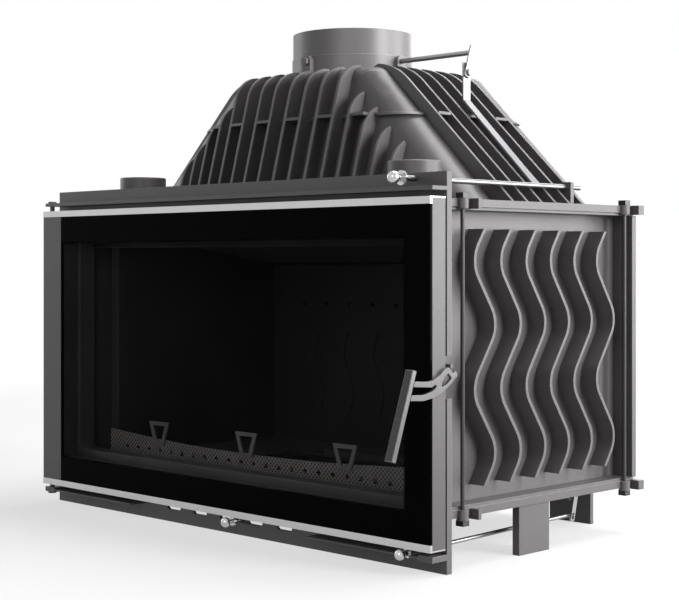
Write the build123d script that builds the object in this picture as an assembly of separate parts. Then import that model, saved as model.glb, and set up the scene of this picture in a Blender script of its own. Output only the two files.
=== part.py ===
from build123d import *
import math
import os

os.makedirs("parts", exist_ok=True)

# A cast-iron fireplace insert with a wide glass door.
# +X runs to the viewer's right, the door faces -Y, +Z is up and the floor is z = 0.
# The origin is at floor level, under the middle of the whole insert. Lengths are mm.

# Clearances
shaft_clearance = 0.05
slide_clearance = 0.3
seat_clearance = 0.5
overlap = 2.0
round_end_flat = 0.01

# Door
door_width = 891.0
door_height = 468.0
door_floor_gap = 33.0
glass_thickness = 4.0
door_frame_depth = 26.0
door_gap = 3.0
border_left = 52.0
border_right = 45.0
border_top = 52.0
border_bottom = 49.0
trim_height = 10.0
trim_skin = 2.0
trim_proud = 0.5
rope_width = 11.0
rope_depth = 8.0
rope_inset = 19.5
hinge_inset = 9.0
hinge_back = 12.0
hinge_pin_r = 4.0
hinge_pin_reach = 14.0
hinge_head_r = 7.0
hinge_head_height = 3.0

# Door handle, seen from the side: places are measured back and up from its pivot
handle_height = 253.8
handle_pivot_back = 11.5
handle_pivot_r = 4.0
handle_pivot_length = 22.0
lever_gap = 0.3
lever_thickness = 4.7
grip_width = 14.0
grip_depth = 8.0
grip_top_back = -46.5
grip_top_up = 20.2
grip_bottom_back = -86.5
grip_bottom_up = -94.8
grip_corner_r = 1.5
inlay_margin = 0.9
inlay_depth = 1.2
catch_back = 37.0
catch_up = 22.5
catch_pin_r = 3.0
catch_pin_root = 10.0

# Front plate and its ledges
plate_thickness = 10.0
plate_height = 535.0
mouth_width = 770.0
mouth_bottom = 95.0
mouth_top = 470.0
mouth_corner_r = 12.0
jamb_depth = 20.0
jamb_thickness = 8.0
notch_depth = 15.0
notch_bottom = 233.0
notch_top = 290.0
notch_corner_r = 6.0
top_ledge_height = 509.5
top_ledge_thickness = 5.5
bottom_ledge_height = 19.0
bottom_ledge_thickness = 8.0
bottom_ledge_block = 26.0
bottom_ledge_inner = 205.0
ledge_sheet = 2.5
ledge_sheet_top = 24.0

# Air register under the door
register_width = 430.0
register_height = 32.0
register_depth = 32.0
register_wall = 3.0
register_skin = 2.0
vent_count = 5
vent_pitch = 64.5
vent_width = 34.0
vent_height = 10.6
vent_bottom = 19.0
slide_width = 356.0
slide_thickness = 2.5
slide_bottom = 14.3
slide_top = 29.7
slide_rail = 2.0
register_stem_x = 35.5
register_stem_r = 3.0
register_ball_r = 7.5
register_knob_height = 24.0
register_ball_back = 0.0
register_ring_r = 7.0
register_ring_thickness = 3.0
register_ring_back = 12.5

# Base plate, top plate and rear panel
plate_inset = 10.0
base_bottom = 70.0
base_thickness = 15.0
body_depth = 443.0
top_thickness = 15.0
body_top = 500.0
step_inset = 2.5
step_height = 4.0
throat_width = 660.0
throat_front = 117.0
throat_back = 29.0
throat_corner_r = 60.0
ash_opening_width = 300.0
ash_opening_depth = 170.0
ash_opening_back = 87.0
grate_ledge = 8.0
grate_thickness = 8.0
grate_bar = 9.0
grate_slot = 11.0
grate_rim = 12.0
rear_panel_thickness = 10.0
rear_panel_inset = 5.0
rear_panel_setback = 6.0
rear_rib_count = 7
rear_rib_pitch = 110.0
rear_rib_thickness = 6.0
rear_rib_depth = 5.5

# Side panels with wavy cooling fins
panel_inset = 40.0
panel_thickness = 8.0
wave_count = 6
wave_pitch = 56.6
wave_first_back = 84.0
wave_bottom = 107.0
wave_length = 176.5
wave_cycles = 2
wave_corner = 30.0
wave_bend_r = 40.0
wave_thickness = 5.0
wave_depth = 28.0

# Tie rods that clamp the plates, with an ear for each and a lug behind it
tie_rod_r = 3.0
tie_rod_out = 8.5
tie_ear_r = 8.5
tie_ear_height = 14.0
tie_ear_rise = 0.5
tie_ear_drop = 3.5
tie_front_back = 31.75
tie_rear_back = 411.0
tie_front_lug_gap = 17.0
tie_front_lug = 6.0
tie_rear_lug_gap = 18.0
tie_lug_out = 5.5
tie_nut_width = 13.0
tie_nut_height = 7.5

# Legs
side_leg_thickness = 12.0
side_leg_width = 69.0
side_leg_front = 160.0
side_leg_inset = 13.0
rear_leg_thickness = 8.0
rear_leg_width = 80.0
rear_leg_x = 311.5

# Hood
hood_height = 216.0
hood_foot_half = 375.6
hood_foot_front = 82.5
hood_foot_back = 426.5
hood_side_lean = 0.986
hood_front_lean = 0.26
hood_back_lean = 0.052
hood_front_bow_r = 1430.0
hood_front_corner_r = 48.0
hood_back_corner_r = 30.0
hood_shoulder_r = 20.0
hood_wall = 8.0
seam_rise = 138.0
seam_height = 4.5
seam_proud = 3.5

# Front fins of the hood
fin_thickness = 5.0
front_fin_depth = 24.4
front_fin_bow_r = 1165.0
front_fin_first = 17.7
long_fin_count = 4
long_fin_pitch = 33.7
short_fin_pitch = 30.5
front_fin_top = 220.0
front_fin_bend_rise = 183.0
front_fin_bend_back = 49.0
short_fin_tops = [175.0, 149.0, 118.0, 93.7]
short_fin_bend = 38.0
fin_root = 20.0
front_fin_run_out = 5.0
webbed_fins = 6
fin_gap = 0.05

# Side fins of the hood
side_fin_depth = 35.2
side_fin_lean = 1.05
side_fin_count = 6
side_fin_pitch = 33.6
side_fin_first_back = 175.5
side_fin_bend_rise = 192.0
side_fin_top = 222.0
side_fin_run_out = 14.0

# Flue collar and its bosses
collar_r = 100.0
collar_wall = 6.0
collar_height = 72.0
collar_back = 266.6
collar_foot_r = 101.5
collar_flange_r = 107.0
collar_flange_thickness = 6.0
collar_boss_width = 19.0
collar_boss_reach = 9.0
collar_boss_rise = 21.4
collar_bolt_r = 4.0
collar_bolt_head_r = 7.0
collar_bolt_head = 5.0

# Round caps on the top plate
cap_r = 39.0
cap_height = 58.0
cap_rim_height = 24.0
cap_neck_r = 20.0
cap_stud_r = 5.0
cap_x = 314.0
cap_back = 71.0
cap_edge_r = 2.0

# Damper and its pull rod
damper_blade_r = 90.0
damper_blade_thickness = 4.0
damper_blade_tilt = 62.0
damper_shaft_r = 4.0
damper_lever_x = 255.8
damper_lever_width = 15.0
damper_lever_thickness = 3.0
damper_arm = 33.5
damper_arm_tilt = 17.5
damper_arm_over = 10.0
damper_lever_corner_r = 2.0
damper_bolt_r = 3.0
damper_bolt_head_r = 5.5
damper_bolt_head = 4.0
damper_rod_r = 4.0
damper_rod_x = 389.0
damper_rod_height = 527.0
damper_rod_back = 361.0
damper_ball_r = 9.0
damper_ball_back = -10.0
damper_ring_r = 10.0
damper_ring_thickness = 3.0
damper_ring_back = 4.0
strap_width = 15.5
strap_thickness = 3.0
strap_slot_width = 9.0
strap_slot_length = 17.0
strap_slot_rise = 1.6
strap_end = 5.0
strap_lever_gap = 1.0
strap_slant = 45.0
rod_bracket_width = 23.0
rod_bracket_out = 10.5
rod_bracket_rise = 7.5
rod_bracket_thickness = 8.0
rod_bracket_corner_r = 2.0
rod_bracket_back = 325.5

# Air flap under the base plate and its pull rod
air_rod_r = 3.0
air_rod_x = 391.2
air_rod_height = 24.1
air_rod_climb = 0.023
air_ball_r = 7.5
air_ball_back = 0.0
air_ring_r = 7.0
air_ring_thickness = 3.0
air_ring_back = 14.5
ledge_notch = 24.0
flap_shaft_r = 4.0
flap_shaft_back = 341.5
flap_shaft_drop = 6.0
flap_lever_tilt = 14.5
flap_lever_width = 9.0
flap_lever_thickness = 3.0
flap_lever_gap = 1.5
flap_pin_r = 1.5
flap_slot_width = 5.0
flap_slot_near = 28.5
flap_slot_far = 38.5
flap_lever_end = 3.0
flap_thickness = 3.0
flap_length = 60.0
flap_half_width = 145.0
flap_rest_drop = 17.0
flap_port_margin = 8.0
air_box_half_width = 157.0
air_box_front = 267.0
air_box_depth = 120.0
air_box_height = 52.0
sheet = 2.0
spigot_r = 50.0
spigot_length = 15.0
shaft_bracket_x = 388.0
shaft_bracket_thickness = 5.0
shaft_bracket_width = 20.0

# Ash box and pan
ash_box_margin = 10.0
ash_box_height = 48.0
ash_pan_gap = 4.0
ash_pan_wall = 1.5
ash_pan_drop = 4.0

# Firebox lining, baffle and hearth pieces
liner_half_span = 344.5
liner_thickness = 20.0
liner_front = 42.0
back_liner_back = 402.0
air_hole_count = 10
air_hole_pitch = 57.5
air_hole_height = 338.0
air_hole_r = 4.0
relief_count = 7
relief_pitch = 74.0
relief_width = 10.0
relief_proud = 3.0
relief_bottom = 140.0
relief_wave = 150.0
relief_swing = 16.0
relief_bend_r = 45.0
baffle_thickness = 20.0
baffle_front = 150.0
baffle_front_top = 470.0
baffle_back_top = 430.0
baffle_back_gap = 15.0
deflector_back = 22.0
deflector_thickness = 3.0
deflector_drop = 47.0
deflector_lip = 15.0
fence_back = 31.0
fence_half = 352.0
fence_thickness = 4.0
fence_end_height = 44.0
fence_middle_height = 31.0
fence_hole_count = 22
fence_hole_pitch = 29.0
fence_hole_r = 4.0
fence_hole_height = 17.0
fence_foot_half = 235.0
fence_foot_depth = 10.0
fence_foot_height = 4.0
hook_pitch = 216.7
hook_top_width = 50.0
hook_bottom_width = 25.0
hook_bottom = 27.0
hook_top = 65.0
hook_thickness = 3.0
hook_rim = 6.0
hook_side_rim = 9.0

# Places worked out from the sizes above
half_width = door_width / 2
door_bottom = door_floor_gap
door_top = door_bottom + door_height
front_stack = glass_thickness + door_frame_depth + door_gap + plate_thickness
grip_length = math.hypot(grip_top_back - grip_bottom_back, grip_top_up - grip_bottom_up)
grip_lean = math.atan2(grip_top_back - grip_bottom_back, grip_top_up - grip_bottom_up)
grip_reach = -(handle_pivot_back + grip_bottom_back) + grip_depth / 2 * math.cos(grip_lean)
depth_behind_glass = front_stack + body_depth + rear_leg_thickness
glass_y = (grip_reach - depth_behind_glass) / 2
frame_y = glass_y + glass_thickness
door_back_y = frame_y + door_frame_depth
plate_y = door_back_y + door_gap
body_y = plate_y + plate_thickness
body_back_y = body_y + body_depth
hinge_x = -half_width + hinge_inset
hinge_y = glass_y + hinge_back
window_left = -half_width + border_left
window_right = half_width - border_right
window_bottom = door_bottom + border_bottom
window_top = door_top - border_top
base_top = base_bottom + base_thickness
top_bottom = body_top - top_thickness
plate_half = half_width - plate_inset
panel_x = half_width - panel_inset
pivot_y = glass_y + handle_pivot_back
tie_x = half_width - tie_rod_out
tie_places = [tie_front_back, tie_rear_back]
tie_base_z = base_bottom - tie_ear_drop
tie_top_z = body_top + tie_ear_rise
lug_x = half_width + tie_lug_out
leg_x = half_width - side_leg_inset - side_leg_thickness
hood_top = body_top + hood_height
collar_y = body_y + collar_back
collar_top = hood_top + collar_height
damper_z = hood_top + collar_boss_rise
arm_forward = damper_arm * math.sin(math.radians(damper_arm_tilt))
arm_down = damper_arm * math.cos(math.radians(damper_arm_tilt))
strap_x = damper_lever_x - strap_lever_gap - strap_thickness / 2
strap_y = collar_y - arm_forward
strap_bolt_z = damper_z - arm_down
flap_shaft_y = body_y + flap_shaft_back
flap_shaft_z = base_bottom - flap_shaft_drop
air_rod_angle = math.degrees(math.atan(air_rod_climb))
flap_arm_slope = math.tan(math.radians(flap_lever_tilt))
rod_under_shaft = air_rod_height + air_rod_climb * (flap_shaft_y - glass_y)
flap_arm_drop = (flap_shaft_z - rod_under_shaft) / (1 - air_rod_climb * flap_arm_slope)
flap_pin_y = flap_shaft_y - flap_arm_drop * flap_arm_slope
flap_pin_z = flap_shaft_z - flap_arm_drop
flap_pin_along = math.hypot(flap_pin_y - glass_y, flap_pin_z - air_rod_height)
flap_lever_x = air_rod_x + air_rod_r + flap_lever_gap
ash_y = body_y + ash_opening_back
air_box_y = body_y + air_box_front
register_y = plate_y
slide_y = register_y + register_wall + slide_clearance
liner_y = body_y + liner_front
back_liner_y = body_y + back_liner_back
fence_y = body_y + fence_back


# Basic forms

def block(x0, x1, y0, y1, z0, z1):
    size = Box(x1 - x0, y1 - y0, z1 - z0)
    return Pos((x0 + x1) / 2, (y0 + y1) / 2, (z0 + z1) / 2) * size


def area(points, radii=None):
    if radii is None:
        return make_face(Polyline(*points, close=True))
    return make_face(FilletPolyline(*points, radius=radii, close=True))


def slab_x(points, x0, x1, radii=None):
    """A plate with the outline points (y, z), from x0 to x1."""
    return extrude(Plane.YZ.offset(x0) * area(points, radii), x1 - x0)


def slab_y(points, y0, y1, radii=None):
    """A plate with the outline points (x, z), from y0 to y1."""
    return extrude(Plane.XZ.offset(-y0) * area(points, radii), y0 - y1)


def slab_z(points, z0, z1, radii=None):
    """A plate with the outline points (x, y), from z0 to z1."""
    return extrude(Plane.XY.offset(z0) * area(points, radii), z1 - z0)


def upright(r, height):
    return Cylinder(r, height, align=(Align.CENTER, Align.CENTER, Align.MIN))


def rod_x(y, z, x0, x1, r):
    return Pos(x0, y, z) * Rot(0, 90, 0) * upright(r, x1 - x0)


def rod_y(x, z, y0, y1, r):
    return Pos(x, y0, z) * Rot(-90, 0, 0) * upright(r, y1 - y0)


def rod_z(x, y, z0, z1, r):
    return Pos(x, y, z0) * upright(r, z1 - z0)


def frame_points(a0, a1, b0, b1):
    return [(a0, b0), (a1, b0), (a1, b1), (a0, b1)]


def both_sides(shape):
    return [shape, mirror(shape, Plane.YZ)]


# Front plate, ledges and pins

def vent_places():
    first = -(vent_count - 1) / 2 * vent_pitch
    return [first + i * vent_pitch for i in range(vent_count)]


def vents(y0, y1, width, bottom, height):
    end_r = height / 2 - round_end_flat
    cuts = []
    for x in vent_places():
        points = frame_points(x - width / 2, x + width / 2, bottom, bottom + height)
        cuts.append(slab_y(points, y0, y1, [end_r] * 4))
    return cuts


def front_frame():
    half_mouth = mouth_width / 2
    mouth = frame_points(-half_mouth, half_mouth, mouth_bottom, mouth_top)
    jamb_half = half_mouth + jamb_thickness
    jamb = frame_points(
        -jamb_half, jamb_half, mouth_bottom - jamb_thickness + seat_clearance, mouth_top + jamb_thickness
    )
    plate = block(-half_width, half_width, plate_y, body_y, 0, plate_height)
    plate += slab_y(jamb, body_y, body_y + jamb_depth, [mouth_corner_r + jamb_thickness] * 4)
    plate -= slab_y(mouth, plate_y, body_y + jamb_depth, [mouth_corner_r] * 4)
    notch = frame_points(half_width - notch_depth, half_width + notch_depth, notch_bottom, notch_top)
    plate -= slab_y(notch, plate_y, body_y, [notch_corner_r, 0, 0, notch_corner_r])
    plate -= rod_y(damper_rod_x, damper_rod_height, plate_y, body_y, damper_rod_r + shaft_clearance)
    plate -= along_air_rod(rod_y(0, 0, 0, front_stack + plate_thickness, air_rod_r + shaft_clearance))
    register_half = register_width / 2 + seat_clearance
    plate -= block(-register_half, register_half, plate_y, body_y, 0, register_height)
    plate -= catch_pin_at(catch_pin_r + shaft_clearance)
    return plate


def catch_pin_at(r):
    inner = half_width - notch_depth - catch_pin_root
    outer = half_width + lever_gap + lever_thickness
    return rod_x(glass_y + catch_back, handle_height + catch_up, inner, outer, r)


def catch_pin():
    return catch_pin_at(catch_pin_r)


def hinge_pin_hole(z0, z1):
    return rod_z(hinge_x, hinge_y, z0, z1, hinge_pin_r + shaft_clearance)


def top_ledge():
    top = top_ledge_height + top_ledge_thickness
    ledge = block(-half_width, half_width, frame_y, plate_y, top_ledge_height, top)
    return ledge - hinge_pin_hole(top_ledge_height, top)


def bottom_ledge():
    """A thin shelf on the front plate with a thick block at its outer end."""
    top = bottom_ledge_height + bottom_ledge_thickness
    sheet_low = ledge_sheet_top - ledge_sheet
    shelf = block(bottom_ledge_inner, half_width, frame_y, plate_y, sheet_low, ledge_sheet_top)
    end = half_width - bottom_ledge_block
    return shelf + block(end, half_width, frame_y, plate_y, bottom_ledge_height, top)


def bottom_ledges():
    top = bottom_ledge_height + bottom_ledge_thickness
    left = mirror(bottom_ledge(), Plane.YZ) - hinge_pin_hole(bottom_ledge_height, top)
    notch_left = air_rod_x - ledge_notch / 2
    notch_right = air_rod_x + ledge_notch / 2
    right = bottom_ledge() - block(notch_left, notch_right, frame_y, plate_y, bottom_ledge_height, top)
    return [left] + right.solids()


def hinge_pins():
    top = top_ledge_height + top_ledge_thickness
    upper = rod_z(hinge_x, hinge_y, door_top - hinge_pin_reach, top, hinge_pin_r)
    upper += rod_z(hinge_x, hinge_y, top, top + hinge_head_height, hinge_head_r)
    lower = rod_z(hinge_x, hinge_y, bottom_ledge_height, door_bottom + hinge_pin_reach, hinge_pin_r)
    head = bottom_ledge_height - hinge_head_height
    lower += rod_z(hinge_x, hinge_y, head, bottom_ledge_height, hinge_head_r)
    return [upper, lower]


# Air register: a slotted cover with a slotted slide behind it

def register_cover():
    half = register_width / 2
    inside = half - register_wall
    back = register_y + register_depth
    inner_y = register_y + register_wall
    cover = block(-half, half, register_y, back, 0, register_height)
    cover -= block(-inside, inside, inner_y, back, register_skin, register_height - register_skin)
    rail_top = slide_bottom - slide_clearance
    rail_back = slide_y + slide_thickness + register_wall
    cover += block(-inside, inside, inner_y, rail_back, rail_top - slide_rail, rail_top)
    for vent in vents(register_y, inner_y, vent_width, vent_bottom, vent_height):
        cover -= vent
    cover -= knob_slot(register_y, inner_y)
    return cover


def knob_slot(y0, y1):
    middle = (vent_count - 1) // 2
    left = vent_places()[middle] - vent_width / 2
    right = vent_places()[middle + 1] + vent_width / 2
    points = frame_points(left, right, vent_bottom, vent_bottom + vent_height)
    return slab_y(points, y0, y1, [vent_height / 2 - round_end_flat] * 4)


def register_slide():
    half = slide_width / 2
    plate = block(-half, half, slide_y, slide_y + slide_thickness, slide_bottom, slide_top)
    height = slide_top - vent_bottom - slide_rail
    for vent in vents(slide_y, slide_y + slide_thickness, vent_width, vent_bottom, height):
        plate -= vent
    return plate


def knob(x, z, ball_y, ball_r, ring_y, ring_r, ring_thickness, stem_back_y, stem_r):
    """A ball knob and a ring on one stem that runs back along +Y."""
    stem = rod_y(x, z, ball_y, stem_back_y, stem_r)
    stem += Pos(x, ball_y, z) * Sphere(ball_r)
    return stem + rod_y(x, z, ring_y, ring_y + ring_thickness, ring_r)


def register_knob():
    ball_y = glass_y + register_ball_back
    ring_y = glass_y + register_ring_back
    return knob(
        register_stem_x, register_knob_height, ball_y, register_ball_r,
        ring_y, register_ring_r, register_ring_thickness, slide_y, register_stem_r,
    )


# Base plate, top plate and the tie rods that clamp them

def ears(z0):
    """Round ears for the tie rods, each with a square lug behind it, on both sides."""
    z1 = z0 + tie_ear_height
    shapes = []
    for back in tie_places:
        shapes += both_sides(rod_z(tie_x, body_y + back, z0, z1, tie_ear_r))
    front_lug = body_y + tie_front_back + tie_front_lug_gap
    rear_lug = body_y + tie_rear_back + tie_rear_lug_gap
    for y0, y1 in ((front_lug, front_lug + tie_front_lug), (rear_lug, body_back_y)):
        shapes += both_sides(block(plate_half - overlap, lug_x, y0, y1, z0, z1))
    return shapes


def ear_holes(z0):
    holes = []
    for back in tie_places:
        hole = rod_z(tie_x, body_y + back, z0, z0 + body_top, tie_rod_r + seat_clearance / 2)
        holes += both_sides(hole)
    return holes


def stepped_plate(z_outer, z_step, z_inner):
    """A plate whose edge steps in between z_step and z_inner."""
    inset = plate_half - step_inset
    low = min(z_outer, z_step)
    high = max(z_outer, z_step)
    plate = block(-plate_half, plate_half, body_y, body_back_y, low, high)
    low = min(z_step, z_inner)
    high = max(z_step, z_inner)
    return plate + block(-inset, inset, body_y, body_back_y - step_inset, low, high)


def flap_port():
    """The opening in the base plate that the air flap closes."""
    half = flap_half_width - flap_port_margin
    back = flap_shaft_y - flap_port_margin
    front = flap_shaft_y - flap_length + flap_port_margin
    return block(-half, half, front, back, base_bottom, base_top)


def base_plate():
    plate = stepped_plate(base_bottom, base_top - step_height, base_top)
    for ear in ears(tie_base_z):
        plate += ear
    half = ash_opening_width / 2
    plate -= block(-half, half, ash_y, ash_y + ash_opening_depth, base_bottom, base_top)
    seat = half + grate_ledge
    seat_front = ash_y - grate_ledge
    seat_back = ash_y + ash_opening_depth + grate_ledge
    plate -= block(-seat, seat, seat_front, seat_back, base_top - grate_thickness, base_top)
    plate -= flap_port()
    for hole in ear_holes(tie_base_z):
        plate -= hole
    return plate


def top_plate():
    plate = stepped_plate(body_top, top_bottom + step_height, top_bottom)
    for ear in ears(tie_top_z - tie_ear_height):
        plate += ear
    half = throat_width / 2
    throat = frame_points(-half, half, body_y + throat_front, body_back_y - throat_back)
    plate -= slab_z(throat, top_bottom, body_top, [throat_corner_r] * 4)
    for hole in ear_holes(top_bottom):
        plate -= hole
    for x in (-cap_x, cap_x):
        stud_r = cap_stud_r + shaft_clearance
        plate -= rod_z(x, body_y + cap_back, top_bottom, body_top, stud_r)
    return plate


def tie_rods():
    rods = []
    for back in tie_places:
        low = tie_base_z - tie_nut_height
        high = tie_top_z + tie_nut_height
        rods += both_sides(rod_z(tie_x, body_y + back, low, high, tie_rod_r))
    return rods


def tie_rod_nuts():
    nuts = []
    for back in tie_places:
        y = body_y + back
        for z in (tie_base_z - tie_nut_height, tie_top_z):
            half = tie_nut_width / 2
            nut = block(tie_x - half, tie_x + half, y - half, y + half, z, z + tie_nut_height)
            nut -= rod_z(tie_x, y, z, z + tie_nut_height, tie_rod_r + shaft_clearance)
            nuts += both_sides(nut)
    return nuts


# Side walls: a flat panel and the upright wavy fins on it

def wave_edge(y, shift):
    """One edge of a fin: straight runs between alternate bends, shifted sideways."""
    quarter = wave_length / 4
    top = wave_bottom + wave_cycles * wave_length
    lean = math.atan2(wave_corner, quarter)
    side = shift / math.cos(lean)
    points = [(y + side, top)]
    radii = []
    for i in range(2 * wave_cycles):
        bend = -1 if i % 2 == 0 else 1
        points.append((y + side + bend * wave_corner, top - (2 * i + 1) * quarter))
        radii.append(wave_bend_r + bend * shift)
    points.append((y + side, wave_bottom))
    return FilletPolyline(*points, radius=radii)


def wave_fin(y):
    near = wave_edge(y, -wave_thickness / 2)
    far = wave_edge(y, wave_thickness / 2)
    caps = [Line(near @ 0, far @ 0), Line(near @ 1, far @ 1)]
    profile = make_face(near.edges() + far.edges() + caps)
    return extrude(Plane.YZ.offset(panel_x) * profile, wave_depth)


def wall_fins():
    """The fins on the right-hand panel."""
    return [wave_fin(body_y + wave_first_back + i * wave_pitch) for i in range(wave_count)]


def side_panel():
    back = body_back_y - rear_panel_setback - rear_panel_thickness
    return block(panel_x - panel_thickness, panel_x, body_y, back, base_top, top_bottom)


# Rear panel

def rear_panel():
    half = half_width - rear_panel_inset
    front = body_back_y - rear_panel_setback - rear_panel_thickness
    back = front + rear_panel_thickness
    panel = block(-half, half, front, back, base_top, top_bottom)
    first = -(rear_rib_count - 1) / 2 * rear_rib_pitch
    for i in range(rear_rib_count):
        x = first + i * rear_rib_pitch
        rib_half = rear_rib_thickness / 2
        panel += block(
            x - rib_half, x + rib_half, back - overlap, back + rear_rib_depth,
            base_top + rear_rib_pitch / 4, top_bottom - rear_rib_pitch / 4,
        )
    return panel


# Legs

def side_legs():
    front = body_y + side_leg_front
    leg = block(leg_x, leg_x + side_leg_thickness, front, front + side_leg_width, 0, base_bottom)
    return both_sides(leg)


def rear_legs():
    half = rear_leg_width / 2
    back = body_back_y + rear_leg_thickness
    leg = block(rear_leg_x - half, rear_leg_x + half, body_back_y, back, 0, base_top - step_height)
    return both_sides(leg)


# Hood: a leaning skin, bowed in front, with upright fins in front and on both sides

def bow(x, r):
    """How far a front of radius r has fallen back at x from its middle."""
    return r - math.sqrt(r * r - x * x)


def hood_outline(rise, grow=0.0):
    """The level outline of the hood's skin at a rise above its foot, grown outwards."""
    half = hood_foot_half - hood_side_lean * rise + grow
    front = body_y + hood_foot_front + hood_front_lean * rise - grow
    back = body_y + hood_foot_back - hood_back_lean * rise + grow
    corner = front + bow(half, hood_front_bow_r + grow)
    edges = [
        ThreePointArc((-half, corner), (0, front), (half, corner)),
        Line((half, corner), (half, back)),
        Line((half, back), (-half, back)),
        Line((-half, back), (-half, corner)),
    ]
    face = make_face([edge for line in edges for edge in line.edges()]).face()
    face = face.fillet_2d(hood_front_corner_r + grow, face.vertices().group_by(Axis.Y)[0])
    face = face.fillet_2d(hood_back_corner_r + grow, face.vertices().group_by(Axis.Y)[-1])
    return Plane.XY.offset(body_top + rise) * face


def hood_layer(low, high, grow):
    return loft([hood_outline(low, grow), hood_outline(high, grow)], ruled=True)


def hood_skin(grow=0.0):
    """The outside of the hood, solid, with the proud band of its seam."""
    skin = hood_layer(0, hood_height + grow, grow)
    shoulder = skin.faces().sort_by(Axis.Z)[-1].edges()
    skin = fillet(shoulder, hood_shoulder_r)
    band_half = seam_height / 2 + grow
    return skin + hood_layer(seam_rise - band_half, seam_rise + band_half, seam_proud + grow)


def hood():
    skin = hood_skin() - hood_layer(-overlap, hood_height - hood_wall, -hood_wall)
    inner_r = collar_r - collar_wall
    return skin - rod_z(0, collar_y, hood_top - 2 * hood_wall, hood_top + hood_wall, inner_r)


def front_fin_line(x, rise):
    """How far back the front edge of a fin at x stands at a rise above its foot."""
    line = body_y + hood_foot_front - front_fin_depth + hood_front_lean * rise
    return line + bow(x, front_fin_bow_r)


def front_skin_line(x, rise):
    line = body_y + hood_foot_front + hood_front_lean * rise
    return line + bow(x, hood_front_bow_r)


def front_fin(x, bend_rise, tip_rise, tip_y, inside):
    """A fin that follows the leaning front, curves back to its tip and ends inside the skin."""
    foot = (front_fin_line(x, 0), body_top)
    bend = (front_fin_line(x, bend_rise), body_top + bend_rise)
    tip = (tip_y, body_top + tip_rise)
    root = (front_skin_line(x, 0) + fin_root, body_top)
    run = [Line(root, foot), Line(foot, bend), TangentArc(bend, tip, tangent=(hood_front_lean, 1))]
    run += [Line(tip, inside), Line(inside, root)]
    profile = make_face([edge for line in run for edge in line.edges()])
    return extrude(Plane.YZ.offset(x - fin_thickness / 2) * profile, fin_thickness)


def front_fin_places():
    """Sideways places of the fins on the right: the long ones, then the short ones."""
    places = [front_fin_first + i * long_fin_pitch for i in range(long_fin_count)]
    return places + [places[-1] + (i + 1) * short_fin_pitch for i in range(len(short_fin_tops))]


def cut_to_hood(shapes):
    """Ends the shapes at the hood's skin and repeats them on the other side."""
    skin = hood_skin(fin_gap)
    ended = []
    for shape in shapes:
        outside = (shape - skin).solids().sort_by(SortBy.VOLUME)[-1]
        ended += both_sides(outside)
    return ended


def hood_front_fins():
    places = front_fin_places()
    fins = []
    for x in places[:long_fin_count]:
        tip_y = front_fin_line(x, front_fin_bend_rise) + front_fin_bend_back
        inside = (tip_y + front_fin_run_out, hood_top)
        fins.append(front_fin(x, front_fin_bend_rise, front_fin_top, tip_y, inside))
    for x, top in zip(places[long_fin_count:], short_fin_tops):
        tip_y = front_skin_line(x, top)
        inside = (tip_y + fin_root, body_top + top - fin_root)
        fins.append(front_fin(x, top - short_fin_bend, top, tip_y, inside))
    return cut_to_hood(fins + front_webs())


def side_fin_line(rise):
    return hood_foot_half + side_fin_depth - side_fin_lean * rise


def side_fin(y):
    bend_x = side_fin_line(side_fin_bend_rise)
    tip_rise = side_fin_top - side_fin_bend_rise
    tip_x = bend_x - 2 * tip_rise * side_fin_lean
    foot = (side_fin_line(0), body_top)
    bend = (bend_x, body_top + side_fin_bend_rise)
    tip = (tip_x, body_top + side_fin_top)
    inside = (tip_x - side_fin_run_out, hood_top)
    root = (hood_foot_half - fin_root, body_top)
    run = [Line(root, foot), Line(foot, bend), TangentArc(bend, tip, tangent=(-side_fin_lean, 1))]
    run += [Line(tip, inside), Line(inside, root)]
    profile = make_face([edge for line in run for edge in line.edges()])
    return extrude(Plane.XZ.offset(-y + fin_thickness / 2) * profile, -fin_thickness)


def side_fin_places():
    return [body_y + side_fin_first_back + i * side_fin_pitch for i in range(side_fin_count)]


def hood_side_fins():
    return cut_to_hood([side_fin(y) for y in side_fin_places()] + side_webs())


def front_webs():
    """Level webs that tie every other pair of front fins together at the seam."""
    low = body_top + seam_rise - seam_height / 2
    webs = []
    places = front_fin_places()
    for near, far in zip(places[0:webbed_fins:2], places[1:webbed_fins:2]):
        x0 = near + fin_thickness / 2
        x1 = far - fin_thickness / 2
        back = front_skin_line(x1, seam_rise) + overlap
        points = [
            (x0, front_fin_line(x0, seam_rise)), (x1, front_fin_line(x1, seam_rise)), (x1, back), (x0, back),
        ]
        webs.append(slab_z(points, low, low + seam_height))
    return webs


def side_webs():
    low = body_top + seam_rise - seam_height / 2
    outer = side_fin_line(seam_rise)
    inner = outer - side_fin_depth - overlap
    webs = []
    places = side_fin_places()
    for near, far in zip(places[0::2], places[1::2]):
        y0 = near + fin_thickness / 2
        y1 = far - fin_thickness / 2
        webs.append(block(inner, outer, y0, y1, low, low + seam_height))
    return webs


# Flue collar

def collar_boss():
    """A boss on the +X side of the collar, round at its top."""
    half = collar_boss_width / 2
    reach = collar_r + collar_boss_reach
    inner = collar_r - collar_wall / 2
    boss = block(inner, reach, collar_y - half, collar_y + half, hood_top, damper_z)
    return boss + rod_x(collar_y, damper_z, inner, reach, half)


def around_collar(shape, angle):
    return Pos(0, collar_y, 0) * Rot(0, 0, angle) * Pos(0, -collar_y, 0) * shape


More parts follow.
